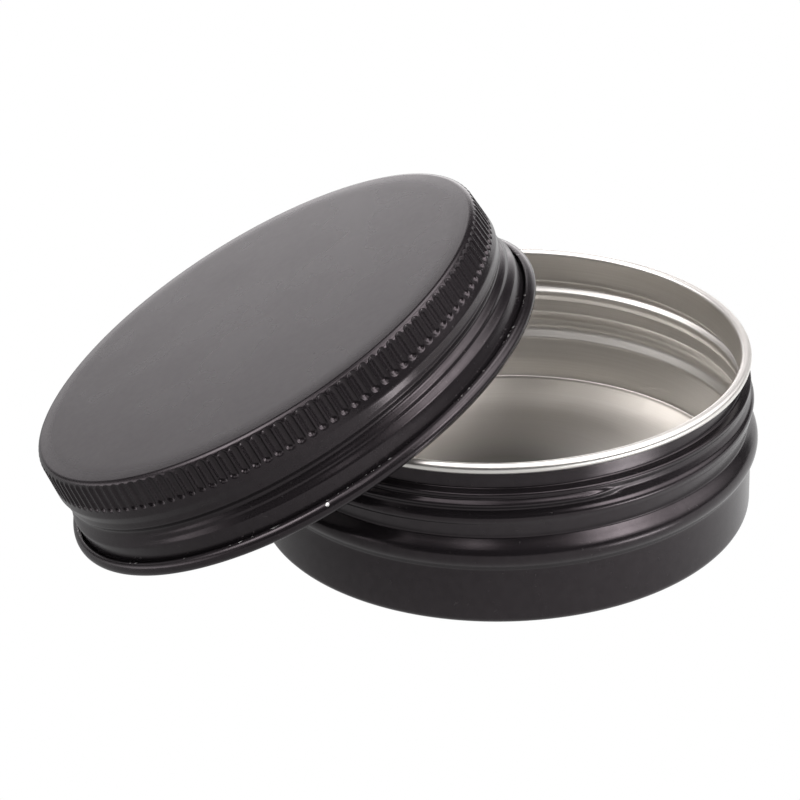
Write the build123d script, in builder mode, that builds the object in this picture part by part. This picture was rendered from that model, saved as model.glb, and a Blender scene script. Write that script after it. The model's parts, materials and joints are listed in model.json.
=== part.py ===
"""Candle tin: a shallow screw-top can with its lid leaning on it, and the foam liner inside the lid.

Millimetres, +Z up. The origin is the centre of the can's base, on the surface it stands on.
The lid leans towards -X: its panel faces up and to the -X side, the foot of its curl stands on the
surface and the rest of the curl passes over the can's rim.
"""

import os
from math import atan, cos, degrees, radians, sin

from build123d import *

os.makedirs("parts", exist_ok=True)

# ---- driving dimensions -------------------------------------------------------------------------
SHEET = 0.3  # drawn aluminium

# can, outer radii and heights
CAN_HEIGHT = 22.2
WALL_RADIUS = 33.05
WALL_TOP = 7.9
BEAD_CORNER_RADIUS = 34.5  # corner of the bead before rounding, which leaves it 68 across
BEAD_HEIGHT = 9.8
GROOVE_RADIUS = 32.55
GROOVE_HEIGHT = 12.5
SWELL_RADIUS = 33.1  # broad swelling that carries the lower turn of the thread
SWELL_BOTTOM = 14.7
SWELL_TOP = 15.8
ROOT_RADIUS = 32.6
ROOT_BOTTOM = 17.1
ROOT_TOP = 17.8
STEP_RADIUS = 32.85  # step between the thread and the neck
STEP_BOTTOM = 18.3
STEP_TOP = 18.7
NECK_RADIUS = 31.75
NECK_BOTTOM = 19.05
RIM_CURL_RADIUS = 0.7
BASE_CORNER_RADIUS = 1.1

# lid, heights measured up its own axis from the foot of its curl
LID_HEIGHT = 13.5
LID_WALL_RADIUS = 33.75
LID_WALL_TOP = 3.8
LID_NECK_RADIUS = 33.2
LID_NECK_BOTTOM = 4.6
LID_NECK_TOP = 7.8
BAND_BOTTOM_RADIUS = 33.45  # fluted band, which narrows towards the panel
BAND_TOP_RADIUS = 33.0
BAND_BOTTOM = 8.2
BAND_BACKING = 0.6  # from the band to the smooth inside behind it
LID_EDGE_ROUNDING = 0.9
LID_CURL_RADIUS = 0.87
FLUTE_COUNT = 136
FLUTE_DEPTH = 0.25
FLUTE_RADIUS = 0.6
FLUTE_BOTTOM = 9.35
FLUTE_TOP = 13.15

# rolled thread, the same pitch on both pieces
THREAD_PITCH = 2.0
THREAD_BEAD_RADIUS = 0.7
CAN_THREAD_TURNS = 1.35
CAN_THREAD_TOP = 17.5
CAN_THREAD_START_ANGLE = -65
CAN_THREAD_CREST = 33.3
LID_THREAD_TURNS = 1.05
LID_THREAD_TOP = 6.35
LID_THREAD_START_ANGLE = 20
LID_THREAD_CREST = 32.65

# liner
LINER_RADIUS = 31.9
LINER_THICKNESS = 1.5
LINER_GAP = 0.02
LINER_EDGE_ROUNDING = 0.15

# the lid's lean
LEAN = 26.8
LID_CENTRE_X = -26.3
FLOOR_GAP = 0.02

CURL_SWEEP = 280  # each rim is rolled outwards until its cut edge faces the wall

# roundings of the rolled sections
FOLD_ROUNDING = 0.5
BEAD_ROUNDING = 2.0
SWELL_BOTTOM_ROUNDING = 1.0
SWELL_TOP_ROUNDING = 0.8
NECK_ROUNDING = 0.3
ROOT_ROUNDING = 0.15
BAND_ROUNDING = 0.2


# ---- the lid's own frame ------------------------------------------------------------------------
LID_CURL_CENTRE = LID_WALL_RADIUS - SHEET + LID_CURL_RADIUS
LID_CENTRE_Z = (
    FLOOR_GAP
    + LID_CURL_RADIUS * (1 - cos(radians(LEAN)))
    + LID_CURL_CENTRE * sin(radians(LEAN))
)
LID_ORIGIN = (LID_CENTRE_X, 0, LID_CENTRE_Z)
LID_UP = (-sin(radians(LEAN)), 0, cos(radians(LEAN)))
LID_OUT = (cos(radians(LEAN)), 0, sin(radians(LEAN)))

LID_PLANE = Plane(origin=LID_ORIGIN, x_dir=LID_OUT, z_dir=LID_UP)
LID_SECTION = Plane(origin=LID_ORIGIN, x_dir=LID_OUT, z_dir=(0, -1, 0))
LID_AXIS = Axis(LID_ORIGIN, LID_UP)


# ---- shapes that both metal pieces use ----------------------------------------------------------
def filled_outline(points, radii):
    """Fills the area between the axis of revolution and a wall drawn from the axis to the axis."""
    FilletPolyline(*points, radius=radii)
    Line(points[-1], points[0])


def curl_outline(centre, radius, start_angle, sweep_angle):
    """Draws the section of a rolled rim: a band of sheet bent round a centre."""
    outer = CenterArc(centre, radius, start_angle, sweep_angle)
    inner = CenterArc(centre, radius - SHEET, start_angle, sweep_angle)
    Line(outer @ 0, inner @ 0)
    Line(outer @ 1, inner @ 1)


def thread_rod(plane, path_radius, rod_radius, turns, top, start_angle):
    """Makes a round rod along the thread's helix, with ball ends, that starts at its top."""
    height = turns * THREAD_PITCH
    foot_angle = start_angle - 360 * turns
    path = plane * Rot(0, 0, foot_angle) * Pos(0, 0, top - height) * Helix(THREAD_PITCH, height, path_radius)
    section = Plane(origin=path @ 0, z_dir=path % 0) * Circle(rod_radius)
    rod = sweep(section, path=path, is_frenet=True)
    for end in (path @ 0, path @ 1):
        rod += Pos(*end) * Sphere(rod_radius)
    return rod


# ---- can ----------------------------------------------------------------------------------------
def can_wall(inset):
    """Gives the corners of the can's wall and their roundings, moved in by a distance."""
    corners = [
        (0, inset, 0),
        (WALL_RADIUS - inset, inset, BASE_CORNER_RADIUS - inset),
        (WALL_RADIUS - inset, WALL_TOP, FOLD_ROUNDING),
        (BEAD_CORNER_RADIUS - inset, BEAD_HEIGHT, BEAD_ROUNDING - inset),
        (GROOVE_RADIUS - inset, GROOVE_HEIGHT, FOLD_ROUNDING),
        (SWELL_RADIUS - inset, SWELL_BOTTOM, SWELL_BOTTOM_ROUNDING),
        (SWELL_RADIUS - inset, SWELL_TOP, SWELL_TOP_ROUNDING),
        (ROOT_RADIUS - inset, ROOT_BOTTOM, FOLD_ROUNDING),
        (ROOT_RADIUS - inset, ROOT_TOP, ROOT_ROUNDING),
        (STEP_RADIUS - inset, STEP_BOTTOM, ROOT_ROUNDING),
        (STEP_RADIUS - inset, STEP_TOP, NECK_ROUNDING),
        (NECK_RADIUS - inset, NECK_BOTTOM, NECK_ROUNDING),
        (NECK_RADIUS - inset, CAN_HEIGHT - RIM_CURL_RADIUS, 0),
        (0, CAN_HEIGHT - RIM_CURL_RADIUS, 0),
    ]
    points = [(radius, height) for radius, height, _ in corners]
    radii = [rounding for _, _, rounding in corners[1:-1]]
    return points, radii


can_thread_path = CAN_THREAD_CREST - THREAD_BEAD_RADIUS
can_thread_bead = thread_rod(
    Plane.XY, can_thread_path, THREAD_BEAD_RADIUS, CAN_THREAD_TURNS, CAN_THREAD_TOP, CAN_THREAD_START_ANGLE
)
can_thread_hollow = thread_rod(
    Plane.XY,
    can_thread_path,
    THREAD_BEAD_RADIUS - SHEET,
    CAN_THREAD_TURNS,
    CAN_THREAD_TOP,
    CAN_THREAD_START_ANGLE,
)

with BuildPart() as can_cavity:
    with BuildSketch(Plane.XZ):
        with BuildLine():
            filled_outline(*can_wall(SHEET))
        make_face()
    revolve(axis=Axis.Z)
    add(can_thread_hollow)

with BuildPart() as can:
    with BuildSketch(Plane.XZ):
        with BuildLine():
            filled_outline(*can_wall(0))
        make_face()
    revolve(axis=Axis.Z)
    add(can_thread_bead)
    add(can_cavity.part, mode=Mode.SUBTRACT)
    with BuildSketch(Plane.XZ):
        with BuildLine():
            rim_centre = (NECK_RADIUS - SHEET + RIM_CURL_RADIUS, CAN_HEIGHT - RIM_CURL_RADIUS)
            curl_outline(rim_centre, RIM_CURL_RADIUS, 180, -CURL_SWEEP)
        make_face()
    revolve(axis=Axis.Z)

can.part.label = "can"
export_step(can.part, "parts/can.step")


# ---- lid ----------------------------------------------------------------------------------------
lid_thread_path = LID_THREAD_CREST + THREAD_BEAD_RADIUS
lid_thread_bead = thread_rod(
    LID_PLANE, lid_thread_path, THREAD_BEAD_RADIUS, LID_THREAD_TURNS, LID_THREAD_TOP, LID_THREAD_START_ANGLE
)
lid_thread_hollow = thread_rod(
    LID_PLANE,
    lid_thread_path,
    THREAD_BEAD_RADIUS - SHEET,
    LID_THREAD_TURNS,
    LID_THREAD_TOP,
    LID_THREAD_START_ANGLE,
)

with BuildPart() as lid_cavity:
    with BuildSketch(LID_SECTION):
        with BuildLine():
            bore = LID_NECK_RADIUS - SHEET
            mouth = LID_WALL_RADIUS - SHEET
            cavity_corners = [
                (0, LID_CURL_RADIUS),
                (mouth, LID_CURL_RADIUS),
                (mouth, LID_WALL_TOP),
                (bore, LID_NECK_BOTTOM),
                (bore, LID_NECK_TOP),
                (BAND_BOTTOM_RADIUS - BAND_BACKING, BAND_BOTTOM),
                (BAND_TOP_RADIUS - BAND_BACKING, LID_HEIGHT - SHEET),
                (0, LID_HEIGHT - SHEET),
            ]
            cavity_roundings = [0, FOLD_ROUNDING, FOLD_ROUNDING, 0, 0, LID_EDGE_ROUNDING - SHEET]
            filled_outline(cavity_corners, cavity_roundings)
        make_face()
    revolve(axis=LID_AXIS)
    add(lid_thread_bead, mode=Mode.SUBTRACT)

flute_length = FLUTE_TOP - FLUTE_BOTTOM - 2 * FLUTE_RADIUS
flute_middle = (FLUTE_TOP + FLUTE_BOTTOM) / 2
band_slope = (BAND_BOTTOM_RADIUS - BAND_TOP_RADIUS) / (LID_HEIGHT - BAND_BOTTOM)
band_middle_radius = BAND_BOTTOM_RADIUS - band_slope * (flute_middle - BAND_BOTTOM)

with BuildPart() as flute:
    with Locations(Rot(0, -degrees(atan(band_slope)), 0)):
        Cylinder(FLUTE_RADIUS, flute_length)
        with Locations((0, 0, flute_length / 2), (0, 0, -flute_length / 2)):
            Sphere(FLUTE_RADIUS)

with BuildPart() as lid:
    with BuildSketch(LID_SECTION):
        with BuildLine():
            lid_corners = [
                (0, LID_CURL_RADIUS),
                (LID_WALL_RADIUS, LID_CURL_RADIUS),
                (LID_WALL_RADIUS, LID_WALL_TOP),
                (LID_NECK_RADIUS, LID_NECK_BOTTOM),
                (LID_NECK_RADIUS, LID_NECK_TOP),
                (BAND_BOTTOM_RADIUS, BAND_BOTTOM),
                (BAND_TOP_RADIUS, LID_HEIGHT),
                (0, LID_HEIGHT),
            ]
            lid_roundings = [
                0,
                FOLD_ROUNDING,
                FOLD_ROUNDING,
                BAND_ROUNDING,
                BAND_ROUNDING,
                LID_EDGE_ROUNDING,
            ]
            filled_outline(lid_corners, lid_roundings)
        make_face()
    revolve(axis=LID_AXIS)
    add(lid_thread_hollow, mode=Mode.SUBTRACT)
    add(lid_cavity.part, mode=Mode.SUBTRACT)
    with Locations(LID_PLANE.offset(flute_middle)):
        with PolarLocations(band_middle_radius + FLUTE_RADIUS - FLUTE_DEPTH, FLUTE_COUNT):
            add(flute.part, mode=Mode.SUBTRACT)
    with BuildSketch(LID_SECTION):
        with BuildLine():
            curl_outline((LID_CURL_CENTRE, LID_CURL_RADIUS), LID_CURL_RADIUS, 180, CURL_SWEEP)
        make_face()
    revolve(axis=LID_AXIS)

lid.part.label = "lid"
export_step(lid.part, "parts/lid.step")


# ---- liner --------------------------------------------------------------------------------------
with BuildPart(LID_PLANE) as liner:
    liner_middle = LID_HEIGHT - SHEET - LINER_GAP - LINER_THICKNESS / 2
    with Locations((0, 0, liner_middle)):
        Cylinder(LINER_RADIUS, LINER_THICKNESS)
    fillet(liner.edges().filter_by(GeomType.CIRCLE), radius=LINER_EDGE_ROUNDING)

liner.part.label = "liner"
export_step(liner.part, "parts/liner.step")
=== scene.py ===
"""Looks of the candle tin: black lacquered aluminium, a bare brushed inside, and a foam liner.

Each metal piece is one formed sheet. A section is drawn from the axis to the cut edge, given its
thickness, and turned round the piece's own axis, with the rolled thread and the pressed flutes
worked into every turn. Sizes are in millimetres unless a comment says otherwise.
"""

import json
import math

import bpy
import numpy as np
from mathutils import Matrix, Vector


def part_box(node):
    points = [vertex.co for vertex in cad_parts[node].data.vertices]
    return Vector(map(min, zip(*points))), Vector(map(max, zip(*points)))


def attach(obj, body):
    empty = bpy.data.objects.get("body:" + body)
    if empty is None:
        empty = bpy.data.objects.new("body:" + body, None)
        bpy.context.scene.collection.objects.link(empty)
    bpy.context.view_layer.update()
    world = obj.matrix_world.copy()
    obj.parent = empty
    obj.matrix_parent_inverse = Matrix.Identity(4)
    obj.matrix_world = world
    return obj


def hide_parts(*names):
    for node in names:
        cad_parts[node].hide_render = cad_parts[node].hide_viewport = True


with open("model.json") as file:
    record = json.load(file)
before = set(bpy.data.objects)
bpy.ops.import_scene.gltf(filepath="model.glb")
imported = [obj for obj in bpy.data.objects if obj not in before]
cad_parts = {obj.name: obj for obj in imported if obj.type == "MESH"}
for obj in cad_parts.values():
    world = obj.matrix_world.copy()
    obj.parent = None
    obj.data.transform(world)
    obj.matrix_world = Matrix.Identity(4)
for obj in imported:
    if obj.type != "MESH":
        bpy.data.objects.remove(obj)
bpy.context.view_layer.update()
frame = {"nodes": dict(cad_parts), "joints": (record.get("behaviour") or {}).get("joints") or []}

# ---- driving sizes -------------------------------------------------------------------------------
MM = 0.001
SHEET = 0.3

joints = {joint["name"]: joint for joint in frame["joints"]}
lid_origin = Vector(joints["lid_turn"]["pos_m"])
lid_up = Vector(joints["lid_turn"]["axis"]).normalized()

can_low, can_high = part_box("can")
lid_low, lid_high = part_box("lid")
CAN_RADIUS = (can_high.x - can_low.x) / 2 / MM
CAN_HEIGHT = can_high.z / MM
LID_RADIUS = (lid_high.y - lid_low.y) / 2 / MM


def lid_height():
    """Height of the lid up its own axis, from the foot of its curl to its panel."""
    node = frame["nodes"]["lid"]
    heights = [(node.matrix_world @ vertex.co - lid_origin).dot(lid_up) for vertex in node.data.vertices]
    return max(heights) / MM


LID_HEIGHT = lid_height()


def lid_matrix():
    """The lid's own frame: origin at the foot of its curl, +Z up through its panel."""
    side = Vector((0, 1, 0))
    out = side.cross(lid_up).normalized()
    rotation = Matrix((out, side, lid_up)).transposed().to_4x4()
    return Matrix.Translation(lid_origin) @ rotation


# ---- sections ------------------------------------------------------------------------------------
ARC_STEP = 12       # most degrees between the samples of a rounded corner
CURL_STEP = 10      # and of a rolled edge
SHORTEST = 1e-6


def rounded_corner(before, corner, after):
    """Samples the arc that rounds a corner (radius, height, rounding) between its neighbours."""
    here = np.array(corner[:2], float)
    towards = np.array(before[:2], float) - here
    away = np.array(after[:2], float) - here
    towards /= np.linalg.norm(towards)
    away /= np.linalg.norm(away)
    half = math.acos(np.clip(towards @ away, -1, 1)) / 2
    rounding = corner[2]
    cut = rounding / math.tan(half)
    start, end = here + towards * cut, here + away * cut
    middle = (towards + away) / np.linalg.norm(towards + away)
    centre = here + middle * rounding / math.sin(half)
    turn = math.pi - 2 * half
    count = max(2, int(math.ceil(turn / math.radians(ARC_STEP))))
    points = []
    for index in range(count + 1):
        angle = turn * index / count
        spoke = (start - centre) * math.sin(turn - angle) + (end - centre) * math.sin(angle)
        points.append(centre + spoke / math.sin(turn))
    return points


def rounded_path(corners, step):
    """Samples a line through corners (radius, height, rounding), each rounded by an arc."""
    points = [np.array(corners[0][:2], float)]
    for before, corner, after in zip(corners, corners[1:], corners[2:]):
        points.extend(rounded_corner(before, corner, after))
    points.append(np.array(corners[-1][:2], float))
    dense = [points[0]]
    for first, second in zip(points, points[1:]):
        length = np.linalg.norm(second - first)
        if length < SHORTEST:
            continue
        count = max(1, int(math.ceil(length / step((first + second) / 2))))
        dense.extend(first + (second - first) * (index + 1) / count for index in range(count))
    return np.array(dense)


def arc(centre, radius, start, sweep):
    """Samples an arc, angles in degrees, without its first point."""
    count = int(math.ceil(abs(sweep) / CURL_STEP))
    angles = np.radians(start + sweep * np.arange(1, count + 1) / count)
    return np.c_[centre[0] + radius * np.cos(angles), centre[1] + radius * np.sin(angles)]


def curled_sheet(corners, centre, radius, sweep, step):
    """One face of a sheet: a line through corners that ends in a rolled edge."""
    return np.vstack([rounded_path(corners, step), arc(centre, radius, 180, sweep)])


def smooth_step(value):
    value = np.clip(value, 0, 1)
    return value * value * (3 - 2 * value)


def thread_passes(azimuth, thread):
    """Yields the height and strength of each pass of a thread at each azimuth, in degrees."""
    first = np.mod(thread["start"] - azimuth, 360) / 360
    for whole in range(int(math.ceil(thread["turns"])) + 1):
        travel = first + whole
        strength = smooth_step(travel / thread["run_in"])
        strength = strength * smooth_step((thread["turns"] - travel) / thread["run_in"])
        yield thread["top"] - thread["pitch"] * travel, strength


def swelling(height, middle, reach):
    """A smooth hump of height one, as wide as twice its reach."""
    share = np.clip((height - middle) / reach, -1, 1)
    return (1 - share * share) ** 2


# ---- meshes --------------------------------------------------------------------------------------
def full_turn(count):
    """Equal azimuths all the way round."""
    return np.linspace(0, 2 * math.pi, count, endpoint=False)


def turned_points(rings, azimuths, shape):
    """Points of a turned section, with one point at each end on the axis, in metres."""
    count = len(azimuths)
    blocks = [np.array([[0.0, 0.0, rings[0][1]]])]
    for radius, height, _ in rings[1:-1]:
        worked = shape(np.full(count, float(radius)), height, np.degrees(azimuths))
        level = np.full(count, float(height))
        blocks.append(np.c_[worked * np.cos(azimuths), worked * np.sin(azimuths), level])
    blocks.append(np.array([[0.0, 0.0, rings[-1][1]]]))
    return np.vstack(blocks) * MM


def turned_faces(rings, count):
    """Faces of a turned section: a fan, rows of four-sided faces and a closing fan.

    Gives the corners of all faces in one run, the number of corners of each, and its material index.
    """
    here = np.arange(count)
    after = np.roll(here, -1)
    last_ring = len(rings) - 1
    last_point = 1 + (last_ring - 1) * count
    loops = [np.c_[np.zeros(count, int), 1 + after, 1 + here].ravel()]
    for ring in range(1, last_ring - 1):
        low, high = 1 + (ring - 1) * count, 1 + ring * count
        loops.append(np.c_[low + here, low + after, high + after, high + here].ravel())
    low = last_point - count
    loops.append(np.c_[low + here, low + after, np.full(count, last_point)].ravel())
    sizes = np.repeat([3] + [4] * (last_ring - 2) + [3], count)
    indices = np.repeat([index for _, _, index in rings[1:]], count)
    return np.concatenate(loops), sizes, indices


def turned_mesh(name, rings, azimuths, shape, materials, matrix=None):
    """Turns a sampled section into one closed mesh.

    rings is a list of (radius, height, material index) that starts and ends on the axis, and
    shape(radius, height, degrees round) gives the worked radius. The place of each vertex in the
    piece's own frame is kept as own_place.
    """
    own = turned_points(rings, azimuths, shape)
    loops, sizes, indices = turned_faces(rings, len(azimuths))
    placed = own
    if matrix is not None:
        placed = own @ np.array(matrix.to_3x3()).T + np.array(matrix.translation)
    mesh = bpy.data.meshes.new(name)
    mesh.vertices.add(len(placed))
    mesh.vertices.foreach_set("co", placed.ravel())
    mesh.loops.add(len(loops))
    mesh.loops.foreach_set("vertex_index", loops)
    mesh.polygons.add(len(sizes))
    mesh.polygons.foreach_set("loop_start", np.r_[0, np.cumsum(sizes)[:-1]])
    for material in materials:
        mesh.materials.append(material)
    mesh.polygons.foreach_set("material_index", indices)
    mesh.polygons.foreach_set("use_smooth", np.ones(len(sizes), bool))
    mesh.update(calc_edges=True)
    own_place = mesh.attributes.new("own_place", "FLOAT_VECTOR", "POINT")
    own_place.data.foreach_set("vector", own.ravel())
    mesh.validate()
    return placed_object(name, mesh)


def placed_object(name, mesh):
    """A new object in the scene."""
    piece = bpy.data.objects.new(name, mesh)
    bpy.context.scene.collection.objects.link(piece)
    return piece


def stand_for(piece, node):
    """Shows a piece in place of a CAD node, riding on the body of the same name."""
    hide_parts(node)
    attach(piece, node)


# ---- node helpers --------------------------------------------------------------------------------
class Tree:
    """A node tree with short calls for the nodes used here."""

    def __init__(self, tree):
        self.tree = tree

    def new(self, kind):
        return self.tree.nodes.new("ShaderNode" + kind)

    def link(self, source, target):
        self.tree.links.new(source, target)

    def put(self, socket, value):
        if isinstance(value, bpy.types.NodeSocket):
            self.link(value, socket)
        else:
            socket.default_value = value

    def math(self, operation, *values):
        node = self.new("Math")
        node.operation = operation
        for socket, value in zip(node.inputs, values):
            self.put(socket, value)
        return node.outputs[0]

    def noise(self, vector, scale, detail, roughness=0.5):
        node = self.new("TexNoise")
        self.put(node.inputs["Vector"], vector)
        node.inputs["Scale"].default_value = scale
        node.inputs["Detail"].default_value = detail
        node.inputs["Roughness"].default_value = roughness
        return node.outputs["Fac"]

    def mapped(self, value, span, result):
        """A value carried from one span (low, high) to another, and held at its ends."""
        node = self.new("MapRange")
        self.put(node.inputs["Value"], value)
        node.inputs["From Min"].default_value = span[0]
        node.inputs["From Max"].default_value = span[1]
        self.put(node.inputs["To Min"], result[0])
        self.put(node.inputs["To Max"], result[1])
        return node.outputs["Result"]

    def mixed(self, factor, first, second):
        node = self.new("Mix")
        node.data_type = "RGBA"
        self.put(node.inputs["Factor"], factor)
        self.put(node.inputs["A"], first)
        self.put(node.inputs["B"], second)
        return node.outputs["Result"]

    def bump(self, height, distance, strength):
        node = self.new("Bump")
        node.inputs["Strength"].default_value = strength
        node.inputs["Distance"].default_value = distance
        self.link(height, node.inputs["Height"])
        return node.outputs["Normal"]

    def split(self, vector):
        node = self.new("SeparateXYZ")
        self.link(vector, node.inputs[0])
        return node.outputs

    def vector(self, parts):
        node = self.new("CombineXYZ")
        for socket, value in zip(node.inputs, parts):
            self.put(socket, value)
        return node.outputs[0]

    def length(self, x, y):
        squares = self.math("ADD", self.math("MULTIPLY", x, x), self.math("MULTIPLY", y, y))
        return self.math("SQRT", squares)

    def within(self, value, middle, reach):
        """One where a value is at the middle, falling softly to nothing at the reach."""
        away = self.math("ABSOLUTE", self.math("SUBTRACT", value, middle))
        share = self.mapped(away, (0.0, reach), (1.0, 0.0))
        share.node.interpolation_type = "SMOOTHSTEP"
        return share

    def for_camera(self):
        return self.new("LightPath").outputs["Is Camera Ray"]


class Nodes(Tree):
    """The node tree of a new material, with the place in the piece's own frame."""

    def __init__(self, name):
        self.material = bpy.data.materials.new(name)
        self.material.use_nodes = True
        super().__init__(self.material.node_tree)
        self.shader = self.tree.nodes["Principled BSDF"]
        place = self.new("Attribute")
        place.attribute_name = "own_place"
        self.position = place.outputs["Vector"]

    def drive(self, **sockets):
        """Puts values into the shader, with _ for a space in a socket's name."""
        for socket, value in sockets.items():
            self.put(self.shader.inputs[socket.replace("_", " ")], value)

    def cylinder(self):
        """Place in the piece's own frame as radius, azimuth (radians) and height sockets."""
        x, y, z = self.split(self.position)
        return self.length(x, y), self.math("ARCTAN2", y, x), z


# ---- materials -----------------------------------------------------------------------------------
CAN_BLACK = (0.0115, 0.0099, 0.0111)
LID_BLACK = (0.0135, 0.0116, 0.0129)
LACQUER_INDEX = 1.5
LACQUER_TINT = (1.0, 0.88, 0.93, 1)
DUST = (0.35, 0.34, 0.33, 1)
DUST_COVER = 0.06
WORN_METAL = (0.9, 0.9, 0.88, 1)
WORN_ROUGHNESS = 0.45

DARK_METAL = (0.85, 0.825, 0.785, 1)
LIGHT_METAL = (0.92, 0.9, 0.865, 1)
STREAK_METAL = (0.88, 0.855, 0.815, 1)
FLOOR_SHADE_TONE = (0.15, 0.145, 0.138, 1)
CORNER_SHADE_TONE = (0.25, 0.235, 0.22, 1)
CORNER_SHADE = 0.95

# Scales of the noises, per metre. Those of the marks are across them, and per radian along them.
GRAIN_SCALE = 5200.0
MOTTLE_SCALE = 900.0
PATCH_SCALE = 90.0
DUST_SCALE = 2600.0
CHIP_SCALE = 3000.0
SPECK_SCALE = 1800.0
CLUSTER_SCALE = 160.0
CELL_SCALE = 2200.0
MARK_SCALE = (5000.0, 1.5)
STREAK_SCALE = (700.0, 0.6)

# The part of a noise's range that is carried to a full change.
NOISE_SPAN = (0.3, 0.7)
MOTTLE_SPAN = (0.35, 0.65)
DUST_SPAN = (0.8, 0.86)
SPECK_SPAN = (0.6, 0.63)
CLUSTER_SPAN = (0.47, 0.55)

PANEL_EDGE = (30.5 * MM, 31.5 * MM)     # within this the lacquer is duller
PANEL_DULLNESS = 0.08
GRAIN_DEPTH = 0.02
MARK_DEPTH = 0.006
CELL_DEPTH = 0.04

# The chip and the worn cut edge of the lid's curl.
CHIP_AZIMUTH = -82.0
CHIP_INSET = 0.25
CHIP_HEIGHT = 1.49
CHIP_REACH = 0.4
CHIP_RAGGEDNESS = 0.3
CUT_EDGE_HEIGHT = 1.6
CUT_EDGE_INSET = 1.0
CUT_EDGE_UP = 0.3
CUT_EDGE_ACROSS = 0.35
CUT_EDGE_LEAST = 0.1

# Painted shade on the can's floor: a darker middle, and a darker ring in the corner round it.
FLOOR_SHADE_RADII = (10.0 * MM, 28.0 * MM)
DEEPEST_FLOOR_SHADE = 0.9
CORNER_RADIUS = CAN_RADIUS - 1.706
CORNER_HEIGHT = 1.6
CORNER_REACH = 0.5


def shaded(colour, share):
    """A colour (red, green, blue) made darker or lighter, as four values."""
    return [channel * share for channel in colour] + [1]


def lacquer(name, colour, roughness, grain, bare_spots=None):
    """Black baked lacquer over drawn aluminium: a fine grain, a faint mottle and a little dust."""
    nodes = Nodes(name)
    radius, _, height = nodes.cylinder()
    fine = nodes.noise(nodes.position, GRAIN_SCALE, detail=2.0)
    patches = nodes.noise(nodes.position, PATCH_SCALE, detail=3.0)
    specks = nodes.noise(nodes.position, DUST_SCALE, detail=0.0)
    dust = nodes.mapped(specks, DUST_SPAN, (0.0, DUST_COVER))
    base = nodes.mixed(patches, shaded(colour, 0.9), shaded(colour, 1.1))
    base = nodes.mixed(dust, base, DUST)
    rough = nodes.mapped(patches, NOISE_SPAN, (roughness - 0.02, roughness + 0.02))
    rough = nodes.math("ADD", rough, nodes.mapped(radius, PANEL_EDGE, (PANEL_DULLNESS, 0.0)))
    if bare_spots is not None:
        spots = bare_spots(nodes, radius, height)
        base = nodes.mixed(spots, base, WORN_METAL)
        rough = nodes.mapped(spots, (0.0, 1.0), (rough, WORN_ROUGHNESS))
        nodes.drive(Metallic=spots)
    normal = nodes.bump(fine, GRAIN_DEPTH * MM, grain)
    mottle = nodes.noise(nodes.position, MOTTLE_SCALE, detail=3.0, roughness=0.6)
    nodes.drive(Base_Color=base, Roughness=rough, Normal=normal, IOR=LACQUER_INDEX)
    nodes.drive(Specular_IOR_Level=nodes.mapped(mottle, MOTTLE_SPAN, (0.46, 0.54)))
    nodes.drive(Specular_Tint=LACQUER_TINT)
    return nodes.material


def chip(nodes):
    """One within a small ragged chip in the lid's curl."""
    azimuth = math.radians(CHIP_AZIMUTH)
    radius = (LID_RADIUS - CHIP_INSET) * MM
    away = nodes.new("VectorMath")
    away.operation = "DISTANCE"
    nodes.link(nodes.position, away.inputs[0])
    middle = (radius * math.cos(azimuth), radius * math.sin(azimuth), CHIP_HEIGHT * MM)
    away.inputs[1].default_value = middle
    noise = nodes.noise(nodes.position, CHIP_SCALE, detail=2.0)
    ragged = nodes.math("MULTIPLY", noise, CHIP_RAGGEDNESS * MM)
    distance = nodes.math("ADD", away.outputs["Value"], ragged)
    return nodes.math("LESS_THAN", distance, CHIP_REACH * MM)


def worn_curl(nodes, radius, height):
    """Bare metal on the lid: a chip in its curl, and specks along the curl's cut edge."""
    chipped = chip(nodes)
    level = nodes.within(height, CUT_EDGE_HEIGHT * MM, CUT_EDGE_UP * MM)
    around = nodes.within(radius, (LID_RADIUS - CUT_EDGE_INSET) * MM, CUT_EDGE_ACROSS * MM)
    edge = nodes.math("GREATER_THAN", nodes.math("MULTIPLY", level, around), CUT_EDGE_LEAST)
    specks = nodes.noise(nodes.position, SPECK_SCALE, detail=1.0)
    specks = nodes.mapped(specks, SPECK_SPAN, (0.0, 1.0))
    clusters = nodes.noise(nodes.position, CLUSTER_SCALE, detail=1.0)
    clusters = nodes.mapped(clusters, CLUSTER_SPAN, (0.0, 1.0))
    worn = nodes.math("MULTIPLY", edge, nodes.math("MULTIPLY", specks, clusters))
    return nodes.math("MAXIMUM", chipped, worn)


def marks_round(nodes, place, scale, detail, roughness=0.5):
    """Noise drawn out round the axis, from a place (radius, azimuth, height)."""
    across, along = scale
    stretches = zip(place, (across, along, across))
    stretched = [nodes.math("MULTIPLY", part, stretch) for part, stretch in stretches]
    return nodes.noise(nodes.vector(stretched), 1.0, detail, roughness)


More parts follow.
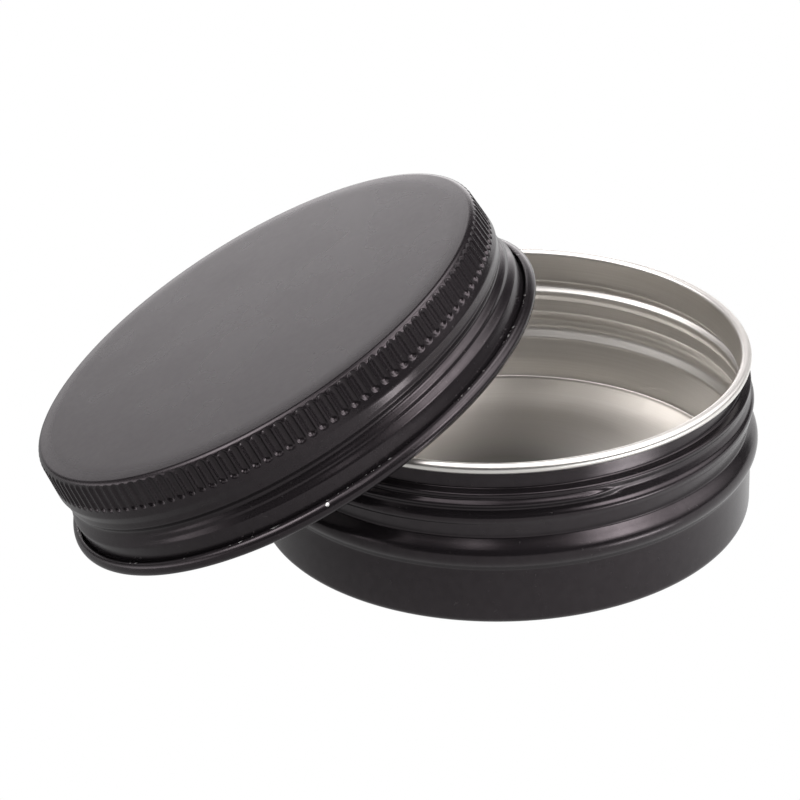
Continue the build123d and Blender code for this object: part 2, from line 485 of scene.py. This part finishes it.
def bare_aluminium(name, roughness):
    """Bare drawn aluminium with fine marks running round the piece, and painted shade on the can's
    floor.
    """
    nodes = Nodes(name)
    place = nodes.cylinder()
    radius, _, height = place
    marks = marks_round(nodes, place, MARK_SCALE, detail=3.0, roughness=0.6)
    streaks = marks_round(nodes, place, STREAK_SCALE, detail=2.0)
    tone = nodes.mixed(nodes.mapped(marks, NOISE_SPAN, (0.0, 1.0)), DARK_METAL, LIGHT_METAL)
    tone = nodes.mixed(nodes.mapped(streaks, NOISE_SPAN, (0.0, 0.35)), tone, STREAK_METAL)
    # Painted shade: the middle of the floor is darkened.
    tone = nodes.mixed(nodes.mapped(radius, FLOOR_SHADE_RADII, (DEEPEST_FLOOR_SHADE, 0.0)), tone, FLOOR_SHADE_TONE)
    # Painted shade: a dark ring in the corner where the floor meets the wall.
    beside = nodes.within(radius, CORNER_RADIUS * MM, CORNER_REACH * MM)
    level = nodes.within(height, CORNER_HEIGHT * MM, CORNER_REACH * MM)
    corner = nodes.math("MULTIPLY", nodes.math("MULTIPLY", beside, level), CORNER_SHADE)
    tone = nodes.mixed(corner, tone, CORNER_SHADE_TONE)
    rough = nodes.mapped(marks, NOISE_SPAN, (roughness - 0.03, roughness + 0.03))
    tangent = nodes.new("Tangent")
    tangent.direction_type = "RADIAL"
    tangent.axis = "Z"
    normal = nodes.bump(marks, MARK_DEPTH * MM, 0.25)
    nodes.drive(Base_Color=tone, Metallic=1.0, Roughness=rough, Normal=normal)
    nodes.drive(Anisotropic=0.6, Tangent=tangent.outputs[0])
    return nodes.material


def foam(name):
    """White closed-cell foam."""
    nodes = Nodes(name)
    cells = nodes.new("TexVoronoi")
    nodes.link(nodes.position, cells.inputs["Vector"])
    cells.inputs["Scale"].default_value = CELL_SCALE
    distance = cells.outputs["Distance"]
    tone = nodes.mixed(distance, (0.86, 0.86, 0.84, 1), (0.78, 0.78, 0.76, 1))
    nodes.drive(Base_Color=tone, Roughness=0.6)
    nodes.drive(Subsurface_Weight=0.1, Subsurface_Radius=(MM, MM, MM))
    nodes.drive(Normal=nodes.bump(distance, CELL_DEPTH * MM, 0.6))
    return nodes.material


can_black = lacquer("can_lacquer", CAN_BLACK, roughness=0.21, grain=0.2)
lid_black = lacquer("lid_lacquer", LID_BLACK, roughness=0.2, grain=0.3, bare_spots=worn_curl)
bare = bare_aluminium("bare_aluminium", roughness=0.38)
white_foam = foam("liner_foam")


# ---- can -----------------------------------------------------------------------------------------
AROUND = 720            # turns of the section round the can
THREAD_PITCH = 2.0
RIM_CURL = 0.7
CURL_SWEEP = 280

# Outer radii of the can, from that of its bead.
CAN_WALL = CAN_RADIUS - 0.98
CAN_BEAD = CAN_RADIUS + 0.47
CAN_WAIST = CAN_RADIUS - 1.456
CAN_COLLAR = CAN_RADIUS - 0.906
CAN_GROOVE = CAN_RADIUS - 1.406
CAN_LEDGE = CAN_RADIUS - 1.156
CAN_NECK = CAN_RADIUS - 2.28

# Inner radii of the dish and the channel, where the inside doesn't follow the outside.
DISH_FLAT = 25.0
CHANNEL_FOOT = CAN_RADIUS - 1.806
CHANNEL_WALL = CAN_RADIUS - 1.706
CHANNEL_RIDGE = CAN_RADIUS - 2.506
CHANNEL_DEEPEST = CAN_RADIUS - 1.506

WALL_TOP = 7.9
BEAD_MIDDLE = 9.9
WAIST_HEIGHT = 12.2
CAN_TOP = CAN_HEIGHT - RIM_CURL

CAN_THREAD = {"top": 17.15, "start": -65.0, "pitch": THREAD_PITCH, "turns": 1.35, "run_in": 0.03}
CAN_THREAD_CREST = CAN_RADIUS - 0.706
CAN_THREAD_REACH = 0.8
CAN_THREAD_LEAST = 0.12
CAN_THREAD_ZONE = (12.5, 19.5)
LINING_THREAD_TOP = 17.2
WALL_ROWS = 30.0        # rows further out than this are of the wall
FINE_ROWS = 0.12
CAN_PLAIN_ROWS = 1.0


def can_corners():
    """Corners (radius, height, rounding) of the can's outside, from the middle of its base up."""
    return [
        (0, 0, 0),
        (CAN_WALL, 0, 1.1),
        (CAN_WALL, WALL_TOP, 0.5),
        (CAN_BEAD, BEAD_MIDDLE, 2.0),
        (CAN_WAIST, WAIST_HEIGHT, 0.35),
        (CAN_COLLAR, 14.4, 1.0),
        (CAN_COLLAR, 15.5, 0.8),
        (CAN_GROOVE, 16.8, 0.4),
        (CAN_GROOVE, 17.4, 0.3),
        (CAN_LEDGE, 17.9, 0.4),
        (CAN_LEDGE, 18.3, 0.3),
        (CAN_NECK, 18.6, 0.3),
        (CAN_NECK, CAN_TOP, 0),
    ]


def can_lining():
    """The same corners of its inside, with a shallow dish and a channel below the neck."""
    return [
        (0, SHEET, 0),
        (DISH_FLAT, SHEET, 14.0),
        (CAN_WALL - SHEET, 1.6, 0.12),
        (CAN_WALL - SHEET, WALL_TOP, 0.8),
        (CAN_BEAD - SHEET, BEAD_MIDDLE - 0.1, 1.7),
        (CHANNEL_FOOT, 12.5, 0.6),
        (CHANNEL_WALL, 14.3, 0.4),
        (CHANNEL_RIDGE, 15.6, 0.6),
        (CHANNEL_DEEPEST, 16.6, 0.3),
        (CAN_NECK - SHEET, 17.7, 0.5),
        (CAN_NECK - SHEET, CAN_TOP, 0),
    ]


def by_can_thread(radius, height):
    """True for a place on the wall where the thread may run."""
    low, high = CAN_THREAD_ZONE
    return radius > WALL_ROWS and low < height < high


def can_step(place):
    """Row spacing along the can's section: close where the thread runs."""
    return FINE_ROWS if by_can_thread(*place) else CAN_PLAIN_ROWS


can_outline = rounded_path(can_corners(), can_step)
upper_wall = can_outline[can_outline[:, 1] > WAIST_HEIGHT - 0.2]


def can_outside(height):
    """Outer radius of the can's wall above its waist, without its thread."""
    return float(np.interp(height, upper_wall[:, 1], upper_wall[:, 0]))


def can_shape(radius, height, azimuth):
    """Pushes the wall out along the thread."""
    worked = radius.copy()
    if by_can_thread(radius[0], height):
        outside = radius[0] > can_outside(height) - SHEET / 3
        rise = max(CAN_THREAD_CREST - radius[0], CAN_THREAD_LEAST) if outside else CAN_THREAD_LEAST
        for middle, strength in thread_passes(azimuth, CAN_THREAD):
            if outside or height < LINING_THREAD_TOP:
                worked += rise * strength * swelling(height, middle, CAN_THREAD_REACH)
    return worked


def build_can():
    """The can as one sheet: black outside, and bare inside from the curl's cut edge."""
    centre = (CAN_NECK - SHEET + RIM_CURL, CAN_TOP)
    outside = curled_sheet(can_corners(), centre, RIM_CURL - SHEET, -CURL_SWEEP, can_step)
    inside = curled_sheet(can_lining(), centre, RIM_CURL, -CURL_SWEEP, can_step)
    rings = [(r, z, 0) for r, z in outside] + [(r, z, 1) for r, z in inside[::-1]]
    piece = turned_mesh("can_shell", rings, full_turn(AROUND), can_shape, [can_black, bare])
    stand_for(piece, "can")


build_can()


# ---- lid -----------------------------------------------------------------------------------------
LID_CURL = 0.87

# Outer radii of the lid, from that of its curl.
LID_WALL = LID_RADIUS - 1.44
LID_NECK = LID_RADIUS - 1.99
BAND_FOOT = LID_RADIUS - 1.74
BAND_TOP = LID_RADIUS - 2.19

LID_THREAD = {"top": 6.35, "start": 20.0, "pitch": THREAD_PITCH, "turns": 1.05, "run_in": 0.06}
LID_THREAD_DEPTH = 0.42
LID_THREAD_REACH = 0.95
LID_THREAD_ZONE = (3.5, 8.0)

FLUTE_COUNT = 136
FLUTE_DEPTH = 0.35
FLUTE_BOTTOM = 9.3
FLUTE_TOP = 13.2
FLUTE_HALF_WIDTH = 0.64
FLUTE_PITCH = 360 / FLUTE_COUNT

# Turns of the section across half a flute, in flute pitches, close together at its edge.
HALF_FLUTE = (0.06, 0.17, 0.27, 0.34, 0.39, 0.42, 0.44, 0.465)
LEAST_ROUNDING = 0.1
LID_WORKED = 32.1       # rows further out than this are worked
LID_WALL_ROWS = 0.6
LID_PANEL_ROWS = 3.0


def lid_corners(inset):
    """Corners of the lid from its panel down, moved in by a distance.

    Each is a radius, a height, a rounding, and 1 where it bends outwards or -1 inwards.
    """
    corners = [
        (BAND_TOP, LID_HEIGHT, 0.9, 1),
        (BAND_FOOT, 8.3, 0.8, 1),
        (LID_NECK, 7.3, 0.8, -1),
        (LID_NECK, 4.6, 0.6, -1),
        (LID_WALL, 3.8, 0.6, 1),
    ]
    moved = []
    for radius, height, rounding, side in corners:
        moved.append((radius - inset, height, max(rounding - side * inset, LEAST_ROUNDING)))
    moved[0] = (BAND_TOP - inset, LID_HEIGHT - inset, moved[0][2])
    return [(0, LID_HEIGHT - inset, 0)] + moved + [(LID_WALL - inset, LID_CURL, 0)]


def lid_step(place):
    """Row spacing along the lid's section: close at the flutes and the thread."""
    if place[0] < WALL_ROWS:
        return LID_PANEL_ROWS
    worked = LID_THREAD_ZONE[0] - 0.1 < place[1] < LID_HEIGHT - 0.01
    return FINE_ROWS if worked else LID_WALL_ROWS


def flute_depth(radius, height, azimuth):
    """Depth of the pressed flutes, which are round at both ends, at each azimuth."""
    across = (np.mod(azimuth + FLUTE_PITCH / 2, FLUTE_PITCH) - FLUTE_PITCH / 2) * math.radians(radius)
    straight = (FLUTE_TOP - FLUTE_BOTTOM) / 2 - FLUTE_HALF_WIDTH
    beyond = max(abs(height - (FLUTE_TOP + FLUTE_BOTTOM) / 2) - straight, 0)
    share = np.clip(np.hypot(across, beyond) / FLUTE_HALF_WIDTH, 0, 1)
    return FLUTE_DEPTH * (1 - share ** 3)


def lid_shape(radius, height, azimuth):
    """Pulls the wall in along the thread, and presses in the flutes."""
    worked = radius.copy()
    if radius[0] < LID_WORKED:
        return worked
    if LID_THREAD_ZONE[0] < height < LID_THREAD_ZONE[1]:
        for middle, strength in thread_passes(azimuth, LID_THREAD):
            worked -= LID_THREAD_DEPTH * strength * swelling(height, middle, LID_THREAD_REACH)
    if FLUTE_BOTTOM < height < FLUTE_TOP:
        worked -= flute_depth(radius[0], height, azimuth)
    return worked


def flute_turns():
    """Azimuths of the section round the lid, the same across every flute."""
    steps = [-0.5] + [-step for step in reversed(HALF_FLUTE)] + list(HALF_FLUTE)
    pitches = np.arange(FLUTE_COUNT)[:, None] + np.array(steps)[None, :]
    return np.radians((pitches * 360 / FLUTE_COUNT).ravel())


def build_lid():
    """The lid as one sheet, black on both faces, with the curl rolled outwards at its foot."""
    centre = (LID_WALL - SHEET + LID_CURL, LID_CURL)
    outside = curled_sheet(lid_corners(0), centre, LID_CURL - SHEET, CURL_SWEEP, lid_step)
    inside = curled_sheet(lid_corners(SHEET), centre, LID_CURL, CURL_SWEEP, lid_step)
    rings = [(r, z, 0) for r, z in inside] + [(r, z, 0) for r, z in outside[::-1]]
    piece = turned_mesh("lid_shell", rings, flute_turns(), lid_shape, [lid_black], lid_matrix())
    stand_for(piece, "lid")


build_lid()


# ---- liner ---------------------------------------------------------------------------------------
LINER_RADIUS = LID_RADIUS - 3.29
LINER_THICKNESS = 1.5
LINER_ROUNDING = 0.15
LINER_GAP = 0.02
LINER_ROWS = 2.0


def build_liner():
    """The foam disc under the lid's panel."""
    top = LID_HEIGHT - SHEET - LINER_GAP
    foot = top - LINER_THICKNESS
    rim = [(LINER_RADIUS, foot, LINER_ROUNDING), (LINER_RADIUS, top, LINER_ROUNDING)]
    outline = rounded_path([(0, foot, 0)] + rim + [(0, top, 0)], lambda place: LINER_ROWS)
    rings = [(r, z, 0) for r, z in outline]
    turns = full_turn(AROUND // 2)
    piece = turned_mesh("liner_disc", rings, turns, lambda r, z, a: r, [white_foam], lid_matrix())
    stand_for(piece, "liner")


build_liner()


# ---- stage, lights and camera --------------------------------------------------------------------
# The floor's half side and the radius of its even middle, in metres, and its strengths.
FLOOR_HALF = 6.0
FLOOR_MIDDLE = 0.05
FLOOR_TONE = 0.68
FLOOR_ACROSS = 0.3
FLOOR_ALONG = 0.08

# Sheen of the front light on the floor, in metres.
SHEEN = (0.052, -0.056)
SHEEN_REACH = 0.024
SHEEN_STRENGTH = 10.0

# Soft lights on the studio's dome, in degrees: azimuth and elevation of the middle, reach round and
# up, and strength.
SOFT_LIGHTS = {
    "backdrop": (90, 3, 45, 25, 3.3),
    "left wall": (180, 0, 50, 24, 2.9),
    "left softbox": (180, 46, 45, 24, 7.0),
    "right wall": (0, 36, 50, 31, 2.9),
    "front strip": (322, 36, 25, 17, 8.5),
    "key lamp": (252, 52, 14, 12, 3.2),
    "top right": (0, 66, 60, 24, 4.5),
    "top back": (90, 66, 60, 24, 4.5),
    "top left": (225, 66, 45, 24, 2.4),
    "top front": (315, 66, 45, 24, 3.4),
}
ZENITH_REACH = 24
ZENITH_STRENGTH = 2.6
LIGHT_COLOUR = (1.0, 0.975, 0.985, 1)
PAPER_WHITE = (1, 1, 1, 1)

# The camera's aim and distance in metres, its tilts in degrees, and its lens.
CAMERA_AIM = (-0.013437, 0, 0.01495)
CAMERA_DISTANCE = 0.30758
CAMERA_ELEVATION = 27.03
CAMERA_ROLL = 2.61
CAMERA_LENS = 104.07
CAMERA_SENSOR = 36.0


def build_floor():
    """White sweep: plain white to the camera, and to the pieces a floor lit mostly from the right."""
    mesh = bpy.data.meshes.new("floor")
    signs = [(-1, -1), (1, -1), (1, 1), (-1, 1)]
    mesh.from_pydata([(x * FLOOR_HALF, y * FLOOR_HALF, 0) for x, y in signs], [], [(0, 1, 2, 3)])
    floor = placed_object("floor", mesh)
    nodes = Nodes("floor_white")
    x, y, _ = nodes.split(nodes.new("TexCoord").outputs["Object"])
    out = nodes.math("MAXIMUM", nodes.length(x, y), FLOOR_MIDDLE)
    across = nodes.math("MULTIPLY", nodes.math("DIVIDE", x, out), FLOOR_ACROSS)
    along = nodes.math("MULTIPLY", nodes.math("DIVIDE", y, out), FLOOR_ALONG)
    tone = nodes.math("ADD", nodes.math("ADD", across, along), FLOOR_TONE)
    beside = nodes.math("SUBTRACT", x, SHEEN[0]), nodes.math("SUBTRACT", y, SHEEN[1])
    sheen = nodes.within(nodes.length(*beside), 0.0, SHEEN_REACH)
    tone = nodes.math("ADD", tone, nodes.math("MULTIPLY", sheen, SHEEN_STRENGTH))
    glow = nodes.new("Emission")
    nodes.link(nodes.mapped(nodes.for_camera(), (0.0, 1.0), (tone, 1.0)), glow.inputs["Strength"])
    nodes.link(glow.outputs[0], nodes.tree.nodes["Material Output"].inputs["Surface"])
    mesh.materials.append(nodes.material)


def build_world():
    """Studio dome: soft lights on black for the pieces, and plain white to the camera."""
    world = bpy.data.worlds.new("studio")
    world.use_nodes = True
    nodes = Tree(world.node_tree)
    x, y, z = nodes.split(nodes.new("TexCoord").outputs["Generated"])
    azimuth = nodes.math("ARCTAN2", y, x)
    elevation = nodes.math("ARCSINE", z)
    overhead = nodes.within(elevation, math.pi / 2, math.radians(ZENITH_REACH))
    total = nodes.math("MULTIPLY", overhead, ZENITH_STRENGTH)
    for *angles, strength in SOFT_LIGHTS.values():
        middle, height, across, up = np.radians(angles).tolist()
        turn = nodes.math("WRAP", nodes.math("SUBTRACT", azimuth, middle), math.pi, -math.pi)
        beside = nodes.within(turn, 0.0, across)
        share = nodes.math("MULTIPLY", beside, nodes.within(elevation, height, up))
        total = nodes.math("ADD", total, nodes.math("MULTIPLY", share, strength))
    background = nodes.tree.nodes["Background"]
    nodes.link(nodes.mixed(nodes.for_camera(), LIGHT_COLOUR, PAPER_WHITE), background.inputs[0])
    strength = nodes.mapped(nodes.for_camera(), (0.0, 1.0), (total, 1.0))
    nodes.link(strength, background.inputs[1])
    bpy.context.scene.world = world


def build_camera():
    """The camera stands in front of the can, looks down on it and is rolled a little."""
    elevation, roll = math.radians(CAMERA_ELEVATION), math.radians(CAMERA_ROLL)
    aim = Vector(CAMERA_AIM)
    data = bpy.data.cameras.new("camera")
    data.lens, data.sensor_width = CAMERA_LENS, CAMERA_SENSOR
    camera = placed_object("camera", data)
    camera.location = aim + CAMERA_DISTANCE * Vector((0, -math.cos(elevation), math.sin(elevation)))
    look = (aim - camera.location).to_track_quat("-Z", "Y").to_matrix()
    camera.rotation_euler = (look @ Matrix.Rotation(-roll, 3, "Z")).to_euler()
    bpy.context.scene.camera = camera


build_floor()
build_world()
build_camera()
bpy.context.scene.view_settings.view_transform = "Standard"
